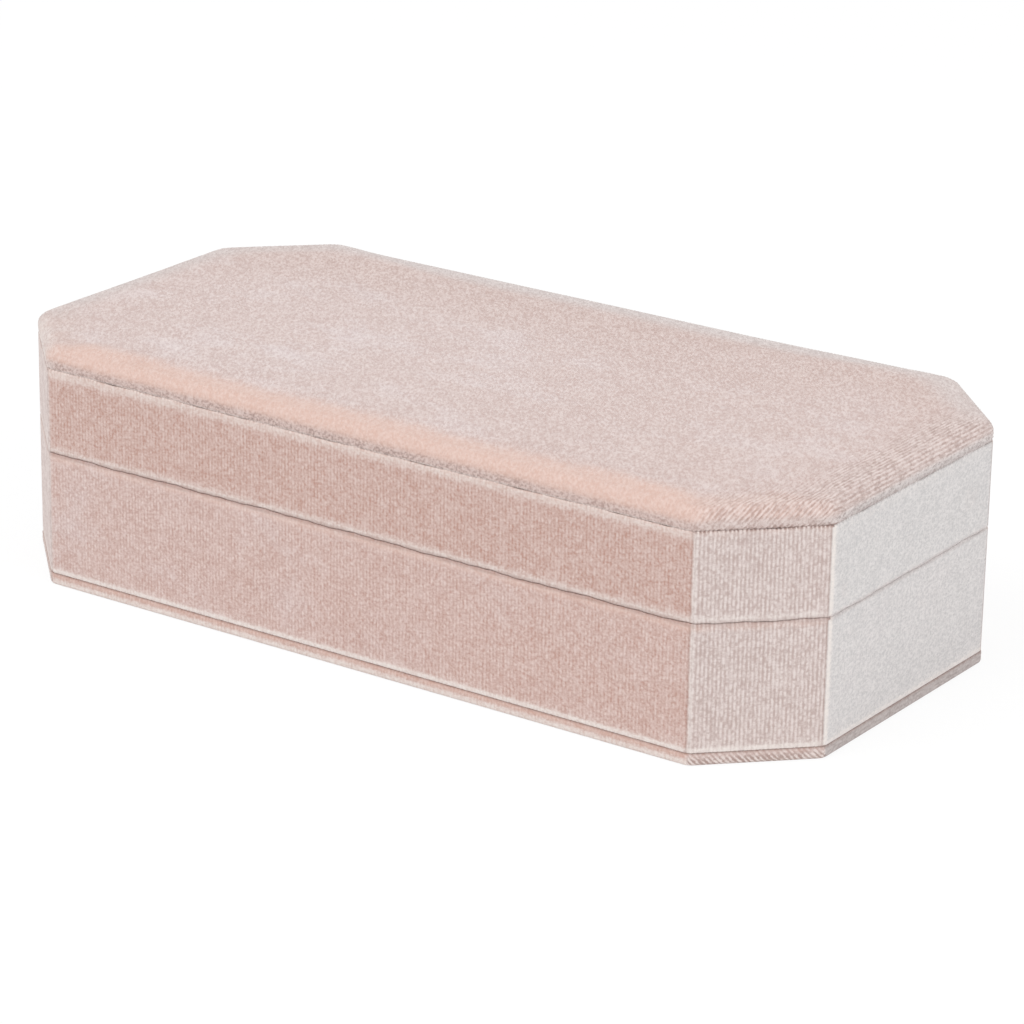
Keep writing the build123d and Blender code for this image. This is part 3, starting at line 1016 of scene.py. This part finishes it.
twin_rows = sheet_rows(row_gap, 0.9 * MM)
twin = flat_sheet("pad_twin", twin_columns, twin_rows)
twin_flat = points_of(twin)
twin_start, _, twin_reach = wrap(twin_flat)
move_points(twin, twin_start)
fine_columns = round(2 * sheet_length / rib_pitch * points_per_rib)
pad = flat_sheet("lid_pad", fine_columns, sheet_rows(1.0 * MM, 0.5 * MM))
pad_flat = points_of(pad)
pad_start, pad_side, pad_reach = wrap(pad_flat)
print("pad sheet", len(pad.data.polygons), "faces, twin", len(twin.data.polygons))

# %% [markdown]
# The twin is held along its side and foot, and a light pressure lifts the
# rest. How far a point may rise is limited, so the crown stays as low as the
# foam makes it. The fine sheet then gets a few shallow dents, is a little
# fuller at the rear right, and hangs over the front.

# %% The pad's crown
puff_pressure = 4
puff_frames = 20
ease_share = 0.6
dent_depth = 0.06 * MM
fuller_height = 0.45 * MM


def blow_up(piece, held, most):
    """Runs cloth simulation with the held points pinned, limits each point's move and applies it."""
    start = points_of(piece)
    piece.vertex_groups.new(name="held").add(np.flatnonzero(held).tolist(), 1, "REPLACE")
    cloth = piece.modifiers.new("Cloth", "CLOTH")
    cloth.settings.vertex_group_mass = "held"
    cloth.settings.use_pressure = True
    cloth.settings.uniform_pressure_force = puff_pressure
    cloth.settings.effector_weights.gravity = 0
    cloth.settings.quality = 5
    cloth.point_cache.frame_start = 1
    cloth.point_cache.frame_end = puff_frames
    for number in range(1, puff_frames + 1):
        scene.frame_set(number)
    shown = piece.evaluated_get(bpy.context.evaluated_depsgraph_get())
    move = read(shown.data.vertices, "co", 3) - start
    piece.modifiers.remove(cloth)
    scene.frame_set(1)
    size = np.linalg.norm(move, axis=1)
    print(piece.name, "would rise", round(size.max() / MM, 2), "mm")
    move *= (most / (most * ease_share + size))[:, None]
    move_points(piece, start + move)
    return move


def spread(move, flat):
    """Puts the twin's moves on its regular grid, ready to be read between its points."""
    places = np.linspace(-sheet_length, sheet_length, twin_columns + 1)
    grid = np.zeros((len(twin_rows), len(places), 3))
    column = abs(flat[:, 0][:, None] - places).argmin(1)
    row = abs(flat[:, 1][:, None] - twin_rows).argmin(1)
    exact = (abs(flat[:, 0] - places[column]) < 1e-6) & (abs(flat[:, 1] - twin_rows[row]) < 1e-6)
    grid[row[exact], column[exact]] = move[exact]
    return places, grid


def step_and_share(values, places):
    """The number of the step that each value lies in, and how far along that step."""
    step = np.clip(np.searchsorted(places, values) - 1, 0, len(places) - 2)
    return step, np.clip((values - places[step]) / (places[step + 1] - places[step]), 0, 1)[:, None]


def read_between(places, grid, flat):
    """Reads the grid of moves at any flat points, straight between its own."""
    column, s = step_and_share(flat[:, 0], places)
    row, t = step_and_share(flat[:, 1], twin_rows)
    low = grid[row, column] * (1 - s) + grid[row, column + 1] * s
    high = grid[row + 1, column] * (1 - s) + grid[row + 1, column + 1] * s
    return low * (1 - t) + high * t


twin_move = blow_up(twin, twin_reach > shoulder_arc * 0.8, crown)
bpy.data.objects.remove(twin)
pad_points = pad_start + read_between(*spread(twin_move, twin_flat), pad_flat)
flat_x, flat_y = pad_flat[:, 0], pad_flat[:, 1]
dents = np.sin(flat_x / (8.7 * MM) + 1.3 * np.sin(flat_y / (11 * MM)))
dents *= np.sin(flat_y / (9.3 * MM) + 0.8 * np.sin(flat_x / (13 * MM)))
fuller = bell(flat_x, 70 * MM, 22 * MM) * smooth(flat_y, 15 * MM, 40 * MM)
pad_points[:, 2] += dent_depth * dents * smooth(-pad_reach, -3 * MM, 3 * MM)
pad_points[:, 2] += fuller_height * fuller * (1 - smooth(pad_reach, 1 * MM, shoulder_arc + 1 * MM))
pad_points[:, 2] -= hang(pad_points[:, 0], pad_side) * smooth(pad_reach, 2 * MM, flap - 0.4 * MM)
move_points(pad, pad_points)
print("pad is", round(np.ptp(pad_points[:, 2]) / MM, 2), "mm deep")

# %% [markdown]
# The pad's ribs run along Y and scallop its edge at the ends. Its front
# shoulder is painted peach, for the light that falls on it, and painted shade
# lies in dark speckles at its foot. The marks take a strength for each side and
# change softly from one side to the next. The sheet's open edge is closed by
# one flat face.

# %% Ribs, marks and underside of the pad
# Strengths for each side: peach painted light, painted shade, painted seam shade and the end colour's
# painted sheen.
side_strengths = {
    "peach": (1, 0.45, 0.1, 0, 0, 0, 0.1, 0.25),
    "shade": (1, 0.15, 1, 0.4, 0.6, 0.4, 0.4, 0.5),
    "seam": (0, 0.8, 0.35, 0.5, 0, 0.5, 0.35, 0.5),
    "end": (0.2, 0.35, 0.4, 0.6, 0.7, 0.6, 0.65, 0.4),
}
side_change = 1.6 * MM
# The top is mixed this far towards the end colour, a painted sheen.
top_end = 0.28

scallops = np.where(pad_side % 2 == 1, 0.2, -0.8)
share = 1 + scallops * smooth(pad_reach, shoulder_arc, flap) + 0.6 * smooth(flat_x, 85 * MM, 95 * MM)
push_out(pad, rib_wave(flat_x, flat_y) * share * rib_height)
lay_cloth(pad, flat_x, flat_y)

reach_of = pad_flat[:, :2] @ side_out.T - plateau
side_share = np.exp((reach_of - reach_of.max(1)[:, None]) / side_change)
side_share /= side_share.sum(1)[:, None]
by_side = {name: side_share @ np.array(strengths) for name, strengths in side_strengths.items()}
front, corner, end = side_share[:, 0], side_share[:, 1], side_share[:, 2]
over = smooth(pad_reach, -8.5 * MM, -0.5 * MM)
foot = smooth(pad_reach, shoulder_arc - 0.7 * MM, shoulder_arc + 1.2 * MM)
very_foot = smooth(pad_reach, flap - 0.45 * MM, flap - 0.1 * MM)
end_foot = smooth(pad_reach, flap - 1.7 * MM, flap - 0.8 * MM) * end
corner_foot = very_foot * (4 * corner * end) ** 4
left_corner = smooth(pad_reach, 0, 2 * MM) * side_share[:, front_left]
near_end = smooth(pad_reach + 0.12 * (flat_x - half_length), -13 * MM, -2 * MM)
near_end *= (corner + end) * (1 - 0.7 * foot)
along_front = 0.55 + 0.45 * bell(flat_x, -15 * MM, 60 * MM)
# The rear of the top gets a little painted shade.
rear = smooth(flat_y, 5 * MM, 45 * MM) * (1 - over)
# Painted light: the peach shoulder, sheen at the foot, on the folds and at the left corner, and paler
# crushed patches on the top, fewer at the rear. Painted shade: flecks at the foot, at the rear, on the right
# end's shoulder and an even tone at its foot, and dark in the seam and at the corner.
mark(
    pad, even=0.7, plain=1 - 0.95 * near_end,
    end=top_end + over * (by_side["end"] - top_end) + 0.4 * foot * end,
    peach=over * by_side["peach"] * (1 - foot),
    shade=foot * by_side["shade"] * along_front + 0.15 * rear + 0.4 * near_end + 0.8 * end_foot,
    fold=0.5 * foot * by_side["seam"] + 1.2 * very_foot * front + 0.8 * left_corner,
    seam=very_foot * by_side["seam"],
    gap=0.5 * smooth(pad_reach, flap - 0.25 * MM, flap) * by_side["seam"] + 0.8 * corner_foot,
    crushed=(1 - over) * (1 - 0.9 * rear) * (0.6 + 0.4 * bell(flat_x, -40 * MM, 60 * MM)))
select_only(pad, "VERT", [])
bpy.ops.mesh.select_mode(type="EDGE")
bpy.ops.mesh.select_non_manifold()
bpy.ops.mesh.edge_face_add()
face_outwards()
finish_piece(pad, "lid", ["lid_pad_cover", "lid_pad_foam"], outer_velvet)

# %% [markdown]
# The two hinge barrels lie half in each rim at the rear, so the cloth is cut
# away round them. A cylinder a little thicker than a barrel is subtracted
# from both covers with a Boolean modifier, which is then applied.

# %% Notches for the hinge barrels
hinge_z = (case_rim + lid_rim) / 2
notch_radius = 1.75 * MM
notch_length = 24.5 * MM
hinge_places = (-55 * MM, 55 * MM)


def apply_modifier(piece, modifier):
    """Applies one modifier to one piece, as by hand."""
    pick(piece)
    bpy.ops.object.modifier_apply(modifier=modifier.name)


def subtract(piece, cutter):
    """Cuts the cutter's shape out of a piece and removes the cutter."""
    cut = piece.modifiers.new("cut", "BOOLEAN")
    cut.operation = "DIFFERENCE"
    cut.object = cutter
    apply_modifier(piece, cut)
    bpy.data.objects.remove(cutter)


for cover in (case_cover, lid_cover):
    before = len(cover.data.polygons)
    for x in hinge_places:
        deselect()
        bpy.ops.mesh.primitive_cylinder_add(
            vertices=40, radius=notch_radius, depth=notch_length,
            location=(x, half_width, hinge_z), rotation=(0, math.pi / 2, 0))
        subtract(cover, bpy.context.object)
    print(cover.name, before, "faces, and with its notches", len(cover.data.polygons))

# %% [markdown]
# Inside, thinner velvet lines the walls and the floor. The wall linings are
# rings like the covers, and the floor is a plate: one outline drawn up by its
# thickness, its edge rounded.

# %% Linings
lining_inset = 3 * MM
inner_inset = 3.6 * MM
lining_slack = 0.05 * MM
floor_low, floor_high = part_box("floor_lining")
lid_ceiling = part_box("lid_lining")[1].z


def line_wall(name, foot, rim, body, node):
    """Makes the lining of a wall from its hidden foot to its rim."""
    piece = ring(name, [(lining_inset, foot), (lining_inset, rim), (inner_inset, rim), (inner_inset, foot)])
    round_fold(piece, lining_inset, rim, 0.25 * MM, 3)
    round_fold(piece, inner_inset, rim, 0.3 * MM, 3)
    cut_levels([rim - math.copysign(d * MM, rim - foot) for d in (0.8, 2.0, 6.0, 12.0)])
    lay_cloth_round(piece)
    points = points_of(piece)
    # Painted sheen along the rim.
    mark(piece, fold=0.5 * bell(points[:, 2], rim, 0.5 * MM), end=end_share(plan_places(points)[0]))
    sag(piece, rim)
    finish_piece(piece, body, [node], lining_velvet)


def plate(name, inset, bottom, top, shown, radius):
    """Draws an outline up into a plate and rounds its edge at the height of the side that shows."""
    piece = outline(inset, bottom)
    piece.name = name
    edit_all()
    bpy.ops.mesh.extrude_region_move(TRANSFORM_OT_translate={"value": (0, 0, top - bottom)})
    face_outwards()
    round_fold(piece, inset, shown, radius, 3)
    lay_cloth_flat(piece)
    return piece


line_wall("case_lining_velvet", base_top, case_rim - lining_slack, "case", "case_lining")
line_wall("lid_lining_velvet", lid_ceiling, lid_rim + lining_slack, "lid", "lid_lining")
floor = plate("floor_lining_velvet", inner_inset, floor_low.z, floor_high.z, floor_high.z, 0.15 * MM)
mark(floor, end=0.4)
finish_piece(floor, "case", ["floor_lining"], lining_velvet)

# %% [markdown]
# A divider is a card with velvet folded over it. Its cover is a block with
# its top edges rounded and the card's space cut out of it from below, so that
# the card, which is a node of the frame, fits inside.

# %% Divider covers
dividers = ("ring_divider", "long_divider", "short_divider_1", "short_divider_2")
divider_round = 1.25 * MM
divider_step = 4 * MM
past_the_card = 4 * MM


def block(low, high):
    """Adds a cube scaled to a box."""
    deselect()
    bpy.ops.mesh.primitive_cube_add(size=1, location=(low + high) / 2)
    bpy.context.object.scale = high - low
    return bpy.context.object


def cover_divider(name, node):
    """Makes the velvet over one divider's card."""
    low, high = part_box(f"{node}_cover")
    card_low, card_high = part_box(f"{node}_card")
    along = 0 if high.x - low.x > high.y - low.y else 1
    piece = block(low, high)
    piece.name = name
    apply_place()
    ends = points_of(piece)[edges_of(piece)]
    on_top = ends[:, :, 2].min(1) > high.z - tiny
    lengthways = abs(ends[:, 0, along] - ends[:, 1, along]) > 1 * MM
    bevel_edges(piece, on_top & lengthways, divider_round, 5)
    way = Vector([float(axis == along) for axis in range(3)])
    for place in np.arange(low[along], high[along], divider_step)[1:]:
        slice_all(way * place, way)
    cut_levels(np.linspace(low.z, high.z - 2 * MM, 5)[1:])
    points = points_of(piece)
    rise = smooth(points[:, 2], low.z + 8 * MM, high.z)
    points[:, 2] -= rise * (0.12 + 0.12 * np.sin(points[:, along] / (5.1 * MM))) * MM
    move_points(piece, points)
    cutter = block(card_low, card_high)
    cutter.scale += way * past_the_card + Vector((0, 0, 0.02 * MM))
    subtract(piece, cutter)
    points = points_of(piece)
    lay_cloth(piece, points[:, along], points[:, 2] + points[:, 1 - along])
    # Painted sheen along the top.
    mark(piece, fold=0.6 * smooth(points[:, 2], high.z - 1.4 * MM, high.z - 0.2 * MM), end=0.35)
    finish_piece(piece, "case", [f"{node}_cover"], lining_velvet)


for node in dividers:
    cover_divider(f"{node}_velvet", node)

# %% [markdown]
# Rings are held between six soft rolls that stand side by side on a card.
# Each is a cylinder drawn down to its bed, its ends cut to the slant of the
# corners, remeshed evenly and blown up a little by cloth simulation, so that
# its top is full and its ends are round. The four full rolls are alike, so
# one is made and copied.

# %% Ring rolls
bed_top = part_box("ring_bed")[1].z
roll_voxel = 1.2 * MM
roll_slack = 0.35 * MM
roll_rise = 0.5 * MM
first_full_roll = 3


def roll_form(name, node):
    """Models one roll a little under its size, cut to the corners, with an even mesh."""
    low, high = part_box(node)
    radius = (high.x - low.x) / 2 - roll_slack
    centre_z = high.z - roll_slack - radius
    deselect()
    bpy.ops.mesh.primitive_cylinder_add(
        vertices=48, radius=radius, depth=high.y - low.y - 2 * roll_slack,
        location=((low.x + high.x) / 2, 0, centre_z), rotation=(math.pi / 2, 0, 0))
    piece = bpy.context.object
    piece.name = name
    apply_place()
    points = points_of(piece)
    points[points[:, 2] < centre_z - tiny, 2] -= centre_z - bed_top
    points[:, 2] = np.maximum(points[:, 2], bed_top + 0.02 * MM)
    move_points(piece, points)
    for side in cut_corners:
        way = Vector((*side_out[side], 0))
        edge = side_distance[side] - inner_inset - 2 * roll_slack
        slice_all(way * edge, way, clear_outer=True, use_fill=True)
    leave_edit()
    piece.data.remesh_voxel_size = roll_voxel
    bpy.ops.object.voxel_remesh()
    edit_all()
    bpy.ops.mesh.vertices_smooth(factor=0.5, repeat=3)
    leave_edit()
    return piece


def finish_roll(piece, node):
    """Smooths a roll, lays its ribs across it and gives it its finish."""
    low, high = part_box(node)
    finer = piece.modifiers.new("finer", "SUBSURF")
    finer.levels = finer.render_levels = 1
    apply_modifier(piece, finer)
    points = points_of(piece)
    radius = (high.x - low.x) / 2
    from_axis = points - [(low.x + high.x) / 2, 0, high.z - radius]
    lay_cloth(piece, points[:, 1], np.arctan2(from_axis[:, 0], from_axis[:, 2]) * radius)
    # Painted sheen on the top, and painted shade low down between the rolls.
    mark(
        piece, end=0.4, fold=0.25 * smooth(points[:, 2], high.z - 2.5 * MM, high.z),
        shade=0.8 * (1 - smooth(points[:, 2], bed_top, high.z - 7 * MM)))
    finish_piece(piece, "case", [node], roll_velvet)


for number in range(1, 7):
    node = f"ring_roll_{number}"
    low_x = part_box(node)[0].x
    if number <= first_full_roll:
        roll = roll_form(f"{node}_velvet", node)
        blow_up(roll, points_of(roll)[:, 2] < bed_top + 2 * MM, roll_rise)
        full_roll, full_roll_low = roll.data.copy(), low_x
    else:
        roll = bpy.data.objects.new(f"{node}_velvet", full_roll.copy())
        scene.collection.objects.link(roll)
        move_points(roll, points_of(roll) + [low_x - full_roll_low, 0, 0])
    finish_roll(roll, node)
bpy.data.meshes.remove(full_roll)

# %% [markdown]
# The mirror in the lid is held by a frame of card covered in velvet. It is
# one more ring: its section has the step that laps over the glass, and its
# face swells a little between its edges.

# %% Mirror frame
frame_low, frame_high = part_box("mirror_frame")
glass_low, glass_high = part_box("mirror")
window_inset = 12.1 * MM
glass_inset = half_width - glass_high.y
frame_inset = half_width - frame_high.y
face_curve = [
    (frame_inset, 0.7), (frame_inset + 1 * MM, 0.15), (frame_inset + 3.5 * MM, 0),
    (window_inset - 2.2 * MM, 0), (window_inset - 0.6 * MM, 0.2), (window_inset, 0.75),
]
mirror_frame = ring("mirror_frame_velvet", [
    (frame_inset, frame_high.z), *[(inset, frame_low.z + rise * MM) for inset, rise in face_curve],
    (window_inset, glass_low.z), (glass_inset, glass_low.z), (glass_inset, frame_high.z),
])
lay_cloth_flat(mirror_frame)
depth = plan_places(points_of(mirror_frame))[1]
# Painted sheen along the window's edge.
mark(mirror_frame, fold=0.6 * bell(depth, window_inset, 0.7 * MM), end=0.4)
finish_piece(mirror_frame, "lid", ["mirror_frame"], lining_velvet)

# %% [markdown]
# The parts that stay as the frame has them get their finishes now: pressed
# board with its fibres, grey card, brushed brass, steel, nickel and mirror
# glass. Each reads the place on the object, so its grain doesn't stretch.

# %% Finishes of board, card, metal and glass
def fibrous(name, light, dark, grain, stretch, roughness, depth):
    """A pressed or felted sheet: two tones mixed by a fibrous noise, with a slight relief."""
    made, tree, shader = start_material(name, roughness)
    place = object_place(tree)
    fibres = noise(place, grain, stretch, 4.0, 0.6)
    specks = ramp(noise(place, grain * 0.3, detail=1.0), 0.6, 0.75)
    tone = mix(ramp(fibres, 0.3, 0.7), dark, light)
    tone = mix(calc("MULTIPLY", specks, 0.35), tone, dark)
    feed(shader, {"Base Color": tone, "Normal": bump(fibres, depth, 0.6)})
    return made


def metal(name, colour, tarnish, roughness, brushed):
    """A metal with fine brush lines along X and slightly duller patches."""
    made, tree, shader = start_material(name, roughness)
    place = object_place(tree)
    lines = noise(place, 0.12 * MM, (40, 1, 1), roughness=0.6)
    patches = noise(place, 3 * MM, detail=3.0)
    duller = calc("MULTIPLY", ramp(patches, 0.45, 0.75), 0.5)
    feed(shader, {
        "Metallic": 1, "Base Color": mix(duller, colour, tarnish), "Normal": bump(lines, brushed, 0.5),
        "Roughness": calc("MULTIPLY_ADD", patches, 0.25, roughness - 0.1),
    })
    return made


fibreboard = fibrous(
    "fibreboard", srgb(150, 118, 88), srgb(112, 84, 60), 1.1 * MM, (1, 1, 0.4), 0.85, 0.08 * MM)
card = fibrous("grey_card", srgb(176, 172, 164), srgb(140, 136, 128), 0.9 * MM, (1.6, 1, 1), 0.9, 0.05 * MM)
brass = metal("hinge_brass", srgb(214, 176, 110), srgb(168, 128, 72), 0.32, 0.02 * MM)
steel = metal("pin_steel", srgb(200, 198, 194), srgb(160, 156, 150), 0.28, 0.01 * MM)
nickel = metal("magnet_nickel", srgb(206, 202, 196), srgb(170, 166, 160), 0.35, 0.01 * MM)

mirror_glass, tree, shader = start_material("mirror_glass", 0.02)
cast = noise(object_place(tree), 60 * MM, detail=1.0)
silver = mix(cast, srgb(226, 231, 229), srgb(233, 236, 235))
feed(shader, {"Metallic": 1, "Coat Weight": 1, "Coat Roughness": 0.01, "Base Color": silver})

hinges = [f"{hand}_hinge" for hand in ("left", "right")]
parts_by_finish = [
    (fibreboard, ["bottom_board", "case_wall_board", "lid_wall_board", "lid_top_board"]),
    (card, ["floor_board", "ring_bed", "lid_pad_board", "mirror_backing"] + [f"{d}_card" for d in dividers]),
    (mirror_glass, ["mirror"]),
    (nickel, ["case_magnets", "lid_magnets"]),
    (steel, ["case_hinge_rivets", "lid_hinge_rivets"] + [f"{h}_pin" for h in hinges]),
    (brass, [f"{h}_{body}_leaf" for h in hinges for body in ("case", "lid")]),
]
for finish, nodes in parts_by_finish:
    for node in nodes:
        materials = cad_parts[node].data.materials
        materials.clear()
        materials.append(finish)
    print(finish.name, "is on", len(nodes), "parts of the frame")

# %% [markdown]
# The underside is closed by a sheet of felt, let in between the turned-up
# hems. It only needs a soft edge and a felt finish.

# %% Felt under the box
felt_low, felt_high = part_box("underside_felt")
felt = fibrous("blush_felt", srgb(196, 164, 154), srgb(164, 130, 120), 0.5 * MM, (1, 1, 1), 1.0, 0.2 * MM)
feed(felt.node_tree.nodes["Principled BSDF"], {"Sheen Weight": 0.4})
felt_inset = half_width - felt_high.y
felt_sheet = plate("underside_felt_sheet", felt_inset, felt_low.z, felt_high.z, felt_low.z, 0.2 * MM)
finish_piece(felt_sheet, "case", ["underside_felt"], felt)
